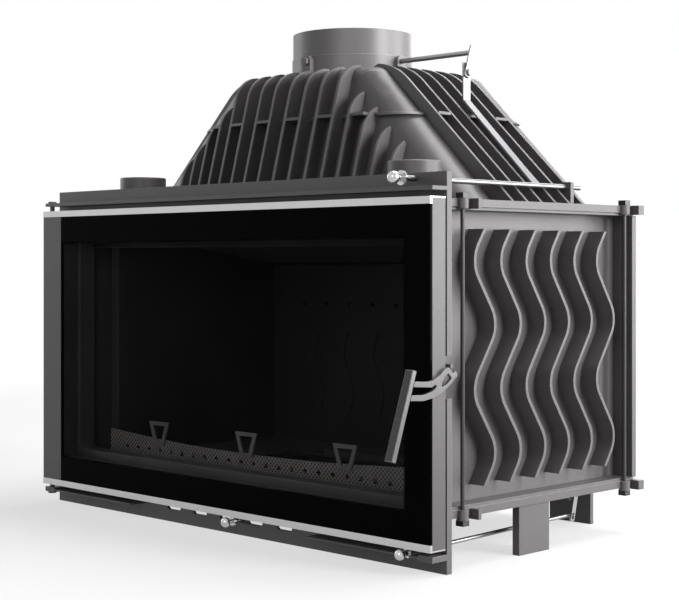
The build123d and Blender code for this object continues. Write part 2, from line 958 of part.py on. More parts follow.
def flue_collar():
    boss_top = damper_z + collar_boss_width / 2
    collar = rod_z(0, collar_y, boss_top, collar_top, collar_r)
    collar += rod_z(0, collar_y, hood_top, boss_top, collar_foot_r)
    collar += rod_z(0, collar_y, hood_top, hood_top + collar_flange_thickness, collar_flange_r)
    for angle in (0, 90, 180, 270):
        collar += around_collar(collar_boss(), angle)
    collar -= rod_z(0, collar_y, hood_top, collar_top, collar_r - collar_wall)
    reach = collar_r + collar_boss_reach
    collar -= rod_x(collar_y, damper_z, -reach, reach, damper_shaft_r + shaft_clearance)
    for angle in (90, 270):
        hole = rod_x(collar_y, damper_z, collar_r - collar_wall, reach, collar_bolt_r + shaft_clearance)
        collar -= around_collar(hole, angle)
    return collar


def collar_bolts():
    bolts = []
    reach = collar_r + collar_boss_reach
    for angle in (90, 270):
        bolt = rod_x(collar_y, damper_z, collar_r - collar_wall, reach, collar_bolt_r)
        hexagon = RegularPolygon(collar_bolt_head_r, 6)
        head = extrude(hexagon, collar_bolt_head)
        bolt += Pos(reach, collar_y, damper_z) * Rot(0, 90, 0) * head
        bolts.append(around_collar(bolt, angle))
    return bolts


# Round caps on the top plate

def top_caps():
    caps = []
    for x in (-cap_x, cap_x):
        y = body_y + cap_back
        top = body_top + cap_height
        disc = rod_z(x, y, top - cap_rim_height, top, cap_r)
        disc = fillet(disc.edges().group_by(Axis.Z)[-1], cap_edge_r)
        disc += rod_z(x, y, body_top, top - cap_rim_height, cap_neck_r)
        caps.append(disc + rod_z(x, y, top_bottom, body_top, cap_stud_r))
    return caps


# Damper in the collar and the rod that works it

def damper_blade():
    blade = Cylinder(damper_blade_r, damper_blade_thickness)
    blade += Rot(0, 90, 0) * Cylinder(damper_shaft_r + damper_blade_thickness, damper_blade_r)
    blade -= Rot(0, 90, 0) * Cylinder(damper_shaft_r + shaft_clearance, 2 * damper_blade_r + overlap)
    return Pos(0, collar_y, damper_z) * Rot(90 - damper_blade_tilt, 0, 0) * blade


def damper_shaft():
    left = -collar_r - collar_boss_reach
    return rod_x(collar_y, damper_z, left, damper_lever_x + damper_lever_thickness, damper_shaft_r)


def tilted_bar(y, z, tilt, above, below, width, x0, x1, corner_r):
    """A flat bar that hangs from (y, z), its foot tilted forward."""
    half = width / 2
    points = frame_points(-half, half, -below, above)
    bar = slab_x(points, x0, x1, [corner_r] * 4)
    return Pos(0, y, z) * Rot(-tilt, 0, 0) * bar


def damper_lever():
    x1 = damper_lever_x + damper_lever_thickness
    below = damper_arm + damper_lever_width / 2
    bar = tilted_bar(
        collar_y, damper_z, damper_arm_tilt, damper_arm_over, below,
        damper_lever_width, damper_lever_x, x1, damper_lever_corner_r,
    )
    bar -= rod_x(collar_y, damper_z, damper_lever_x, x1, damper_shaft_r + shaft_clearance)
    return bar - rod_x(strap_y, strap_bolt_z, damper_lever_x, x1, damper_bolt_r + shaft_clearance)


def damper_bolt():
    inner = damper_lever_x - strap_lever_gap - strap_thickness - strap_lever_gap
    outer = damper_lever_x + damper_lever_thickness
    bolt = rod_x(strap_y, strap_bolt_z, inner, outer, damper_bolt_r)
    head = extrude(RegularPolygon(damper_bolt_head_r, 6), damper_bolt_head)
    return bolt + Pos(outer, strap_y, strap_bolt_z) * Rot(0, 90, 0) * head


def damper_rod():
    front = glass_y + damper_ball_back + damper_ball_r
    return rod_y(damper_rod_x, damper_rod_height, front, body_y + damper_rod_back, damper_rod_r)


def damper_knob():
    ball_y = glass_y + damper_ball_back
    ring_y = glass_y + damper_ring_back
    front = Pos(damper_rod_x, ball_y, damper_rod_height) * Sphere(damper_ball_r)
    ring = rod_y(damper_rod_x, damper_rod_height, ring_y, ring_y + damper_ring_thickness, damper_ring_r)
    bore = rod_y(
        damper_rod_x, damper_rod_height, ball_y + damper_ball_r, ring_y + damper_ring_thickness,
        damper_rod_r + shaft_clearance,
    )
    neck_r = damper_rod_r + damper_ring_thickness / 2
    neck = rod_y(damper_rod_x, damper_rod_height, ball_y, ring_y, neck_r)
    return front + ring + neck - bore


def damper_strap():
    """A flat strap: it leans inwards at 45 degrees from the rod, then stands upright."""
    half = strap_thickness / 2
    corner_z = damper_rod_height + damper_rod_x - strap_x
    shift = half * math.tan(math.radians(strap_slant / 2))
    slant = half / math.sqrt(2)
    top = strap_bolt_z + strap_slot_rise + strap_slot_length / 2 + strap_end
    points = [
        (damper_rod_x - slant, damper_rod_height - slant),
        (damper_rod_x + slant, damper_rod_height + slant),
        (strap_x + half, corner_z + shift),
        (strap_x + half, top),
        (strap_x - half, top),
        (strap_x - half, corner_z - shift),
    ]
    y0 = strap_y - strap_width / 2
    strap = slab_y(points, y0, y0 + strap_width)
    strap -= rod_y(
        damper_rod_x, damper_rod_height, y0, y0 + strap_width, damper_rod_r + shaft_clearance
    )
    half_slot = strap_slot_width / 2
    middle = strap_bolt_z + strap_slot_rise
    slot = frame_points(
        strap_y - half_slot, strap_y + half_slot,
        middle - strap_slot_length / 2, middle + strap_slot_length / 2,
    )
    x0 = strap_x - strap_thickness
    x1 = strap_x + strap_thickness
    return strap - slab_x(slot, x0, x1, [half_slot - round_end_flat] * 4)


def damper_rod_bracket():
    outer = damper_rod_x + rod_bracket_out
    y = body_y + rod_bracket_back
    points = frame_points(outer - rod_bracket_width, outer, body_top, damper_rod_height + rod_bracket_rise)
    corners = [0, 0, rod_bracket_corner_r, rod_bracket_corner_r]
    tab = slab_y(points, y, y + rod_bracket_thickness, corners)
    hole_r = damper_rod_r + shaft_clearance
    return tab - rod_y(damper_rod_x, damper_rod_height, y, y + rod_bracket_thickness, hole_r)


# Door

def door_frame():
    low = door_bottom + trim_skin
    high = door_top - trim_skin
    window = frame_points(window_left, window_right, window_bottom, window_top)
    frame = block(-half_width, half_width, frame_y, door_back_y, low, high)
    frame -= slab_y(window, frame_y, door_back_y)
    outer = rope_rectangle(0)
    inner = rope_rectangle(rope_width)
    groove = slab_y(outer, door_back_y - rope_depth, door_back_y)
    groove -= slab_y(inner, door_back_y - rope_depth, door_back_y)
    frame -= groove
    frame -= hinge_pin_hole(low, low + hinge_pin_reach)
    frame -= hinge_pin_hole(high - hinge_pin_reach, high)
    pivot_r = handle_pivot_r + shaft_clearance
    return frame - rod_x(pivot_y, handle_height, half_width - handle_pivot_length, half_width, pivot_r)


def rope_rectangle(inset):
    side = half_width - rope_inset - inset
    low = door_bottom + rope_inset + rope_width / 2 + inset
    high = door_top - rope_inset + rope_width / 2 - inset
    return frame_points(-side, side, low, high)


def door_gasket():
    """The rope seal in the frame's rear groove: it stops just short of the front plate."""
    front = door_back_y - rope_depth + slide_clearance
    back = plate_y - slide_clearance
    rope = slab_y(rope_rectangle(slide_clearance), front, back)
    return rope - slab_y(rope_rectangle(rope_width - slide_clearance), front, back)


def door_glass():
    low = door_bottom + trim_height
    high = door_top - trim_height
    return block(window_left, half_width, glass_y, frame_y, low, high)


def door_hinge_strip():
    low = door_bottom + trim_height
    high = door_top - trim_height
    return block(-half_width, window_left - slide_clearance, glass_y, frame_y, low, high)


def door_trim(low, high, skin_low, skin_high):
    """A bright angle: one leg in front of the frame, one along its edge."""
    trim = block(-half_width, half_width, glass_y - trim_proud, frame_y, low, high)
    trim += block(-half_width, half_width, frame_y, door_back_y, skin_low, skin_high)
    return trim - hinge_pin_hole(skin_low, skin_high)


def door_trim_top():
    return door_trim(door_top - trim_height, door_top, door_top - trim_skin, door_top)


def door_trim_bottom():
    return door_trim(door_bottom, door_bottom + trim_height, door_bottom, door_bottom + trim_skin)


# Door handle

def along_grip(shape):
    """Stands a shape made upright at the origin along the leaning grip."""
    top_y = pivot_y + grip_top_back
    top_z = handle_height + grip_top_up
    return Pos(half_width, top_y, top_z) * Rot(-math.degrees(grip_lean), 0, 0) * shape


def grip_solid():
    outer = lever_gap + lever_thickness
    bar = block(outer - grip_width, outer, -grip_depth / 2, grip_depth / 2, -grip_length, 0)
    return bar


def inlay_solid():
    outer = lever_gap + lever_thickness - inlay_margin
    inner = lever_gap + lever_thickness - grip_width + inlay_margin
    front = -grip_depth / 2
    return block(inner, outer, front, front + inlay_depth, inlay_margin - grip_length, -inlay_margin)


def handle_grip():
    bar = grip_solid()
    bar = fillet(bar.edges().filter_by(Axis.Z), grip_corner_r)
    return along_grip(bar - inlay_solid())


def handle_inlay():
    return along_grip(inlay_solid())


def handle_lever():
    """The latch lever: two prongs to the grip, a long slot and a hook for the catch pin."""
    outline = [
        (-52.0, 6.5), (-14.0, 4.2), (4.2, 12.7), (10.5, 18.6), (18.8, 21.9), (28.9, 12.6),
        (33.6, 16.6), (37.2, 10.0), (23.0, -1.5), (5.8, -11.5), (-12.0, -17.2), (-30.8, -20.0),
        (-58.0, -18.0),
    ]
    radii = [0, 30, 12, 8, 3, 2.5, 1.2, 2, 8, 60, 60, 40, 0]
    outline = [(pivot_y + y, handle_height + z) for y, z in outline]
    x0 = half_width + lever_gap
    x1 = x0 + lever_thickness
    lever = slab_x(outline, x0, x1, radii)
    first_slot = [
        (-60.0, 0.2), (-14.0, -3.2), (-5.0, 1.0), (-5.0, -3.4), (-12.0, -8.6), (-30.0, -12.2), (-60.0, -11.0),
    ]
    first_slot = [(pivot_y + y, handle_height + z) for y, z in first_slot]
    lever -= slab_x(first_slot, x0, x1, [0, 6, 1.5, 1.5, 20, 20, 0])
    second_slot = [(5.0, 2.5), (12.0, 10.5), (18.5, 13.8), (26.0, 7.0), (18.0, 0.5), (5.5, -5.0)]
    second_slot = [(pivot_y + y, handle_height + z) for y, z in second_slot]
    lever -= slab_x(second_slot, x0, x1, [1.5, 6, 3, 1.5, 6, 2])
    return lever - along_grip(grip_solid())


def handle_pivot():
    inner = half_width - handle_pivot_length
    return rod_x(pivot_y, handle_height, inner, half_width + lever_gap, handle_pivot_r)


# Air flap in its box under the base plate, and the rod that works it

def along_air_rod(shape):
    """Places a shape made along +Y from the glass plane on the slightly climbing rod."""
    return Pos(air_rod_x, glass_y, air_rod_height) * Rot(air_rod_angle, 0, 0) * shape


def air_rod():
    rod = rod_y(0, 0, air_ball_back + air_ball_r, flap_pin_along + air_rod_r, air_rod_r)
    pin_end = flap_lever_x + flap_lever_thickness + flap_lever_gap - air_rod_x
    return along_air_rod(rod + rod_x(flap_pin_along, 0, 0, pin_end, flap_pin_r))


def air_knob():
    ring_end = air_ring_back + air_ring_thickness
    shape = Pos(0, air_ball_back, 0) * Sphere(air_ball_r)
    shape += rod_y(0, 0, air_ring_back, ring_end, air_ring_r)
    shape += rod_y(0, 0, air_ball_back, air_ring_back, air_rod_r + air_ring_thickness / 2)
    bore = rod_y(0, 0, air_ball_back + air_ball_r, ring_end, air_rod_r + shaft_clearance)
    return along_air_rod(shape - bore)


def flap_shaft():
    left = -air_box_half_width
    right = flap_lever_x + flap_lever_thickness + flap_lever_gap
    return rod_x(flap_shaft_y, flap_shaft_z, left, right, flap_shaft_r)


def flap_lever():
    x1 = flap_lever_x + flap_lever_thickness
    half = flap_lever_width / 2
    bar = tilted_bar(
        flap_shaft_y, flap_shaft_z, flap_lever_tilt, flap_shaft_drop - slide_clearance * 3,
        flap_slot_far + flap_lever_end, flap_lever_width, flap_lever_x, x1, half - round_end_flat,
    )
    slot_half = flap_slot_width / 2
    slot = frame_points(-slot_half, slot_half, -flap_slot_far, -flap_slot_near)
    slot = slab_x(slot, flap_lever_x, x1, [slot_half - round_end_flat] * 4)
    bar -= Pos(0, flap_shaft_y, flap_shaft_z) * Rot(-flap_lever_tilt, 0, 0) * slot
    return bar - rod_x(flap_shaft_y, flap_shaft_z, flap_lever_x, x1, flap_shaft_r + shaft_clearance)


def flap_blade():
    """A plate that reaches forward from the shaft and hangs a little below level."""
    top = flap_shaft_r
    blade = block(
        -flap_half_width, flap_half_width, -flap_length, 0, top - flap_thickness, top
    )
    blade -= rod_x(0, 0, -flap_half_width, flap_half_width, flap_shaft_r + shaft_clearance)
    return Pos(0, flap_shaft_y, flap_shaft_z) * Rot(flap_rest_drop, 0, 0) * blade


def air_box():
    back = air_box_y + air_box_depth
    low = base_bottom - air_box_height
    half = air_box_half_width
    box = block(-half, half, air_box_y, back, low, base_bottom)
    box -= block(-half + sheet, half - sheet, air_box_y + sheet, back - sheet, low + sheet, base_bottom)
    middle = air_box_y + air_box_depth / 2
    box += rod_z(0, middle, low - spigot_length, low, spigot_r)
    box -= rod_z(0, middle, low - spigot_length, low + sheet, spigot_r - sheet)
    return box - rod_x(flap_shaft_y, flap_shaft_z, -half, half, flap_shaft_r + shaft_clearance)


def air_shaft_bracket():
    half = shaft_bracket_width / 2
    x1 = shaft_bracket_x + shaft_bracket_thickness
    low = flap_shaft_z - half
    points = frame_points(flap_shaft_y - half, flap_shaft_y + half, low, base_bottom)
    tab = slab_x(points, shaft_bracket_x, x1, [half - round_end_flat, half - round_end_flat, 0, 0])
    return tab - rod_x(flap_shaft_y, flap_shaft_z, shaft_bracket_x, x1, flap_shaft_r + shaft_clearance)


# Grate, ash box and ash pan

def grate():
    half = ash_opening_width / 2 + grate_ledge - seat_clearance
    front = ash_y - grate_ledge + seat_clearance
    back = ash_y + ash_opening_depth + grate_ledge - seat_clearance
    plate = block(-half, half, front, back, base_top - grate_thickness, base_top)
    pitch = grate_bar + grate_slot
    inside = half - grate_rim
    count = int((2 * inside + grate_bar) / pitch)
    first = -(count - 1) / 2 * pitch
    middle = (front + back) / 2
    front_row = (front + grate_rim, middle - grate_bar / 2)
    back_row = (middle + grate_bar / 2, back - grate_rim)
    for i in range(count):
        x = first + i * pitch
        for low, high in (front_row, back_row):
            plate -= block(
                x - grate_slot / 2, x + grate_slot / 2, low, high, base_top - grate_thickness, base_top
            )
    return plate


def ash_box_extent():
    half = ash_opening_width / 2 + ash_box_margin
    return half, ash_y - ash_box_margin, ash_y + ash_opening_depth + ash_box_margin


def ash_box():
    half, front, back = ash_box_extent()
    low = base_bottom - ash_box_height
    box = block(-half, half, front, back, low, base_bottom)
    return box - block(-half + sheet, half - sheet, front + sheet, back - sheet, low + sheet, base_bottom)


def ash_pan():
    half, front, back = ash_box_extent()
    gap = sheet + ash_pan_gap
    half -= gap
    front += gap
    back -= gap
    low = base_bottom - ash_box_height + sheet
    high = base_bottom - ash_pan_drop
    pan = block(-half, half, front, back, low, high)
    wall = ash_pan_wall
    return pan - block(-half + wall, half - wall, front + wall, back - wall, low + wall, high)


# Firebox lining

def side_liner():
    back = back_liner_y + liner_thickness
    points = [
        (liner_y, base_top), (back, base_top), (back, baffle_bottom(back)),
        (baffle_front_y(), baffle_bottom(baffle_front_y())), (liner_y, baffle_bottom(baffle_front_y())),
    ]
    return slab_x(points, liner_half_span, liner_half_span + liner_thickness)


def baffle_front_y():
    return body_y + baffle_front


def baffle_bottom(y):
    """Height of the sloping underside of the baffle at y."""
    rise = (baffle_front_top - baffle_back_top) / (back_liner_y - baffle_front_y())
    return baffle_front_top - baffle_thickness - rise * (y - baffle_front_y())


def baffle():
    front = baffle_front_y()
    back = back_liner_y - baffle_back_gap
    points = [
        (front, baffle_bottom(front)), (back, baffle_bottom(back)),
        (back, baffle_bottom(back) + baffle_thickness), (front, baffle_bottom(front) + baffle_thickness),
    ]
    half = liner_half_span + liner_thickness
    return slab_x(points, -half, half)


def relief_rib(x):
    """One raised wavy rib on the back wall."""
    quarter = relief_wave / 4
    edges = []
    for shift in (-relief_width / 2, relief_width / 2):
        points = [(x + shift, relief_bottom)]
        for i, bend in enumerate((1, -1)):
            points.append((x + shift + bend * relief_swing, relief_bottom + (2 * i + 1) * quarter))
        points.append((x + shift, relief_bottom + relief_wave))
        edges.append(FilletPolyline(*points, radius=relief_bend_r))
    near, far = edges
    caps = [Line(near @ 0, far @ 0), Line(near @ 1, far @ 1)]
    profile = make_face(near.edges() + far.edges() + caps)
    front = back_liner_y - relief_proud
    return extrude(Plane.XZ.offset(-front) * profile, -relief_proud - overlap)


def back_liner():
    half = liner_half_span - seat_clearance
    top = baffle_bottom(back_liner_y) - seat_clearance
    back = back_liner_y + liner_thickness
    wall = block(-half, half, back_liner_y, back, base_top, top)
    first = -(relief_count - 1) / 2 * relief_pitch
    for i in range(relief_count):
        wall += relief_rib(first + i * relief_pitch)
    first = -(air_hole_count - 1) / 2 * air_hole_pitch
    for i in range(air_hole_count):
        wall -= rod_y(first + i * air_hole_pitch, air_hole_height, back_liner_y, back, air_hole_r)
    return wall


def air_deflector():
    """A bent strip under the top plate that sends air down the glass."""
    y = body_y + deflector_back
    wall = deflector_thickness
    low = top_bottom - deflector_drop
    slant = math.sqrt(2) - 1
    points = [
        (y + deflector_lip, top_bottom), (y + deflector_lip, low + deflector_lip), (y, low),
        (y + wall * math.sqrt(2), low), (y + deflector_lip + wall, low + deflector_lip - wall * slant),
        (y + deflector_lip + wall, top_bottom),
    ]
    half = panel_x - panel_thickness - seat_clearance
    return slab_x(points, -half, half)


# Log guard and its hooks

def log_guard():
    half = fence_half
    left = (-half, base_top + fence_end_height)
    right = (half, base_top + fence_end_height)
    middle = (0, base_top + fence_middle_height)
    edges = [
        Line((-half, base_top), (half, base_top)), Line((half, base_top), right),
        ThreePointArc(right, middle, left), Line(left, (-half, base_top)),
    ]
    face = make_face([edge for line in edges for edge in line.edges()])
    guard = extrude(Plane.XZ.offset(-fence_y) * face, -fence_thickness)
    first = -(fence_hole_count - 1) / 2 * fence_hole_pitch
    for i in range(fence_hole_count):
        x = first + i * fence_hole_pitch
        guard -= rod_y(x, base_top + fence_hole_height, fence_y, fence_y + fence_thickness, fence_hole_r)
    foot_front = fence_y - fence_foot_depth
    foot = block(
        -fence_foot_half, fence_foot_half, foot_front, fence_y, base_top, base_top + fence_foot_height
    )
    return guard + foot


def log_hooks():
    hooks = []
    for x in (-hook_pitch, 0, hook_pitch):
        top = hook_top_width / 2
        low = hook_bottom_width / 2
        outer = [
            (x - low, base_top + hook_bottom), (x + low, base_top + hook_bottom),
            (x + top, base_top + hook_top), (x - top, base_top + hook_top),
        ]
        inner = [
            (x - low + hook_rim, base_top + hook_bottom + hook_rim),
            (x + low - hook_rim, base_top + hook_bottom + hook_rim),
            (x + top - hook_side_rim, base_top + hook_top - hook_rim),
            (x - top + hook_side_rim, base_top + hook_top - hook_rim),
        ]
        hook = slab_y(outer, fence_y - hook_thickness, fence_y)
        hooks.append(hook - slab_y(inner, fence_y - hook_thickness, fence_y))
    return hooks


pieces = {
    "front_frame": front_frame(),
    "catch_pin": catch_pin(),
    "top_ledge": top_ledge(),
    "bottom_ledges": bottom_ledges(),
    "hinge_pins": hinge_pins(),
    "register_cover": register_cover(),
    "register_slide": register_slide(),
    "register_knob": register_knob(),
    "base_plate": base_plate(),
    "top_plate": top_plate(),
    "tie_rods": tie_rods(),
    "tie_rod_nuts": tie_rod_nuts(),
    "side_panel_right": side_panel(),
    "side_panel_left": mirror(side_panel(), Plane.YZ),
    "wall_fins_right": wall_fins(),
    "wall_fins_left": [mirror(fin, Plane.YZ) for fin in wall_fins()],
    "rear_panel": rear_panel(),
    "side_legs": side_legs(),
    "rear_legs": rear_legs(),
    "hood": hood(),
    "hood_front_fins": hood_front_fins(),
    "hood_side_fins": hood_side_fins(),
    "flue_collar": flue_collar(),
    "collar_bolts": collar_bolts(),
    "top_caps": top_caps(),
    "damper_blade": damper_blade(),
    "damper_shaft": damper_shaft(),
    "damper_lever": damper_lever(),
    "damper_bolt": damper_bolt(),
    "damper_rod": damper_rod(),
    "damper_knob": damper_knob(),
    "damper_strap": damper_strap(),
    "damper_rod_bracket": damper_rod_bracket(),
    "door_frame": door_frame(),
    "door_gasket": door_gasket(),
    "door_glass": door_glass(),
    "door_hinge_strip": door_hinge_strip(),
    "door_trim_top": door_trim_top(),
    "door_trim_bottom": door_trim_bottom(),
    "handle_grip": handle_grip(),
    "handle_inlay": handle_inlay(),
    "handle_lever": handle_lever(),
    "handle_pivot": handle_pivot(),
    "air_rod": air_rod(),
    "air_knob": air_knob(),
    "flap_shaft": flap_shaft(),
    "flap_lever": flap_lever(),
    "flap_blade": flap_blade(),
    "air_box": air_box(),
    "air_shaft_bracket": air_shaft_bracket(),
    "grate": grate(),
    "ash_box": ash_box(),
    "ash_pan": ash_pan(),
    "liner_right": side_liner(),
    "liner_left": mirror(side_liner(), Plane.YZ),
    "back_liner": back_liner(),
    "baffle": baffle(),
    "air_deflector": air_deflector(),
    "log_guard": log_guard(),
    "log_hooks": log_hooks(),
}

for name, shape in pieces.items():
    if isinstance(shape, list):
        shape = Compound(children=shape)
    export_step(shape, f"parts/{name}.step")
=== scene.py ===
from math import pi, radians

import bpy
from mathutils import Matrix, Vector


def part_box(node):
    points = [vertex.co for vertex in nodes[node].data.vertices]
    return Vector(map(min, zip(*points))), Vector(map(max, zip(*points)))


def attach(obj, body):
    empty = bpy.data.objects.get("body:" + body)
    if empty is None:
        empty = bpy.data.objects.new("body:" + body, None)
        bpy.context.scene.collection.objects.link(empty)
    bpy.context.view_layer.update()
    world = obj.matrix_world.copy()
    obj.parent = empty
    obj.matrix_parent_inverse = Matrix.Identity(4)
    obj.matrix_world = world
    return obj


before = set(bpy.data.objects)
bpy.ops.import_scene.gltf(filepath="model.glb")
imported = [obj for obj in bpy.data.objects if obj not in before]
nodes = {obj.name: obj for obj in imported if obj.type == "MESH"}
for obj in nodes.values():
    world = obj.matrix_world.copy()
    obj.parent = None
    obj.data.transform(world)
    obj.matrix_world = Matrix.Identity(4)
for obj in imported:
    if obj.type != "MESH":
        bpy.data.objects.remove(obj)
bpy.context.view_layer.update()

scene = bpy.context.scene


# Studio: a plain pale floor and a pale room, white to the eye and in the reflections
# of metal and glass. The floor keeps the insert's soft shadow. A Tone is one socket of
# a surface's shader, so that patterns can be written as plain sums and products.

class Tone:
    def __init__(self, socket):
        self.socket = socket

    @staticmethod
    def node(tree, kind, settings, inputs, output=0):
        """A new node, with its settings first and then the values or links of its sockets."""
        made = tree.nodes.new(kind)
        for name, value in settings.items():
            setattr(made, name, value)
        for name, value in inputs.items():
            if isinstance(value, Tone):
                tree.links.new(value.socket, made.inputs[name])
            else:
                made.inputs[name].default_value = value
        return Tone(made.outputs[output])

    @staticmethod
    def mixed(tree, share, first, second, **settings):
        """The first colour where the share is 0, and the second where it is 1."""
        colours = {0: share, 6: first, 7: second}
        return Tone.node(tree, "ShaderNodeMix", {"data_type": "RGBA", **settings}, colours, 2)

    def maths(self, operation, *values, clamp=False):
        settings = {"operation": operation, "use_clamp": clamp}
        return Tone.node(self.socket.id_data, "ShaderNodeMath", settings, dict(enumerate(values)))

    def __add__(self, other):
        return self.maths("ADD", self, other)

    def __sub__(self, other):
        return self.maths("SUBTRACT", self, other)

    def __rsub__(self, other):
        return self.maths("SUBTRACT", other, self)

    def __mul__(self, other):
        return self.maths("MULTIPLY", self, other)

    def __truediv__(self, other):
        return self.maths("DIVIDE", self, other)

    def __rtruediv__(self, other):
        return self.maths("DIVIDE", other, self)

    __radd__ = __add__
    __rmul__ = __mul__

    def size(self):
        return self.maths("ABSOLUTE", self)

    def wave(self, pitch):
        return self.maths("SINE", self * (2 * pi / pitch))

    def swing(self):
        """How far a noise lies from its middle value."""
        return self - 0.5

    def held(self):
        """The same, held between 0 and 1."""
        return self.maths("ADD", self, 0.0, clamp=True)


def seen(tree):
    """1 for the eye, and for what metal and glass reflect or let through."""
    total = None
    for ray in ("Is Camera Ray", "Is Glossy Ray", "Is Transmission Ray"):
        part = Tone.node(tree, "ShaderNodeLightPath", {}, {}, ray)
        total = part if total is None else total + part
    return total.held()


floor_white = (1.0, 1.0, 1.0, 1.0)
floor_pale = (0.9, 0.9, 0.9, 1.0)
floor_dim = (0.25, 0.25, 0.25, 1.0)
floor_size = 60.0
floor_share = 0.64
floor_near = 1.2
floor_far = 3.0
white_glow = 1.0
room_light = 0.06

bpy.ops.mesh.primitive_plane_add(size=floor_size)
floor = bpy.context.object
floor.name = "studio_floor"
floor_paint = bpy.data.materials.new("studio_floor")
floor_paint.use_nodes = True
floor_tree = floor_paint.node_tree
floor_tree.nodes.clear()
floor_tint = Tone.mixed(floor_tree, seen(floor_tree), floor_dim, floor_pale)
floor_matt = Tone.node(floor_tree, "ShaderNodeBsdfDiffuse", {}, {"Color": floor_tint})
floor_glow = Tone.node(floor_tree, "ShaderNodeEmission", {}, {
    "Color": floor_white, "Strength": white_glow,
})
floor_place = Tone.node(floor_tree, "ShaderNodeTexCoord", {}, {}, "Object")
floor_reach = Tone.node(floor_tree, "ShaderNodeVectorMath", {"operation": "LENGTH"}, {
    0: floor_place,
}, "Value")
floor_fade = ((floor_reach - floor_near) / (floor_far - floor_near)).held()
floor_glowing = seen(floor_tree) * (floor_fade * (1.0 - floor_share) + floor_share)
floor_mix = Tone.node(floor_tree, "ShaderNodeMixShader", {}, {
    0: floor_glowing, 1: floor_matt, 2: floor_glow,
})
floor_end = floor_tree.nodes.new("ShaderNodeOutputMaterial")
floor_tree.links.new(floor_mix.socket, floor_end.inputs["Surface"])
floor.data.materials.append(floor_paint)

studio = bpy.data.worlds.new("studio")
studio.use_nodes = True
studio_tree = studio.node_tree
studio_tree.nodes.clear()
studio_light = Tone.node(studio_tree, "ShaderNodeBackground", {}, {
    "Color": floor_white, "Strength": room_light,
})
studio_white = Tone.node(studio_tree, "ShaderNodeBackground", {}, {
    "Color": floor_white, "Strength": white_glow,
})
studio_mix = Tone.node(studio_tree, "ShaderNodeMixShader", {}, {
    0: seen(studio_tree), 1: studio_light, 2: studio_white,
})
studio_end = studio_tree.nodes.new("ShaderNodeOutputWorld")
studio_tree.links.new(studio_mix.socket, studio_end.inputs["Surface"])
scene.world = studio


# Lamps: two large soft lamps at the insert's right and behind it give the plates their
# sheen, and a third hangs over the hood. Weaker ones fill the front, left and back.

lamp_aim = Vector((0.0, 0.0, 0.4))


def lamp(name, place, width, height, power):
    data = bpy.data.lights.new(name, "AREA")
    data.shape = "RECTANGLE"
    data.size = width
    data.size_y = height
    data.energy = power
    stand = bpy.data.objects.new(name, data)
    stand.location = place
    stand.rotation_euler = (lamp_aim - Vector(place)).to_track_quat("-Z", "Y").to_euler()
    scene.collection.objects.link(stand)


lamp("lamp_right", (3.2, 0.7, 1.4), width=1.2, height=1.8, power=105.0)
lamp("lamp_sheen", (2.5, 2.5, 0.85), width=1.6, height=1.6, power=62.0)
lamp("lamp_top", (0.4, 0.9, 2.9), width=1.8, height=1.8, power=75.0)
lamp("lamp_front", (1.6, -3.0, 1.5), width=1.4, height=1.4, power=13.0)
lamp("lamp_left", (-3.3, -0.6, 1.3), width=1.2, height=2.0, power=12.0)
lamp("lamp_back", (-1.0, 3.2, 1.6), width=1.6, height=1.6, power=30.0)


# Camera: it stands in front of the insert and to its right, at the height of the
# window's upper half, and looks level. Its frame is shifted down, as in the photograph.

camera_place = Vector((1.7569, -1.6851, 0.415))
camera_aim = Vector((-0.7076, 0.7066, 0.0))

camera_data = bpy.data.cameras.new("camera")
camera_data.lens = 79.95
camera_data.sensor_width = 36.0
camera_data.shift_y = -0.0567
camera = bpy.data.objects.new("camera", camera_data)
camera.location = camera_place
camera.rotation_euler = camera_aim.to_track_quat("-Z", "Y").to_euler()
scene.collection.objects.link(camera)
scene.camera = camera
scene.view_settings.view_transform = "Standard"


# Body: the front plate, base and top plates, walls and legs are sand-cast iron with a
# satin dark grey heat-proof paint. It shows the casting's grain, and its edges are painted
# lighter as worn paint and as a painted highlight. Four tie rods clamp the plates over the walls.

body_grey = (0.118, 0.111, 0.113)
tie_grey = (0.03, 0.029, 0.029)
cast_grain = 0.0016
rolled_grain = 0.0009
cast_edge = 0.0014
cast_mottle = 0.16
grain_height = 0.0004
grain_shade = 0.18
grain_roughness = 0.2
broad_per_metre = 9.0
broad_roughness = 0.1
blotch_per_metre = 55.0
blotch_share = 0.6
edge_wear_and_highlight = 5.0
edge_highlight_gain = 2.2
bevel_samples = 4


def noise(tree, place, per_metre, detail):
    return Tone.node(tree, "ShaderNodeTexNoise", {}, {
        "Vector": place, "Scale": per_metre, "Detail": detail,
    })


def shaded(tree, colour, shade):
    """A colour made lighter or darker by a shade round 1."""
    grey = Tone.node(tree, "ShaderNodeCombineColor", {}, {0: shade, 1: shade, 2: shade})
    return Tone.mixed(tree, 1.0, (*colour, 1.0), grey, blend_type="MULTIPLY")


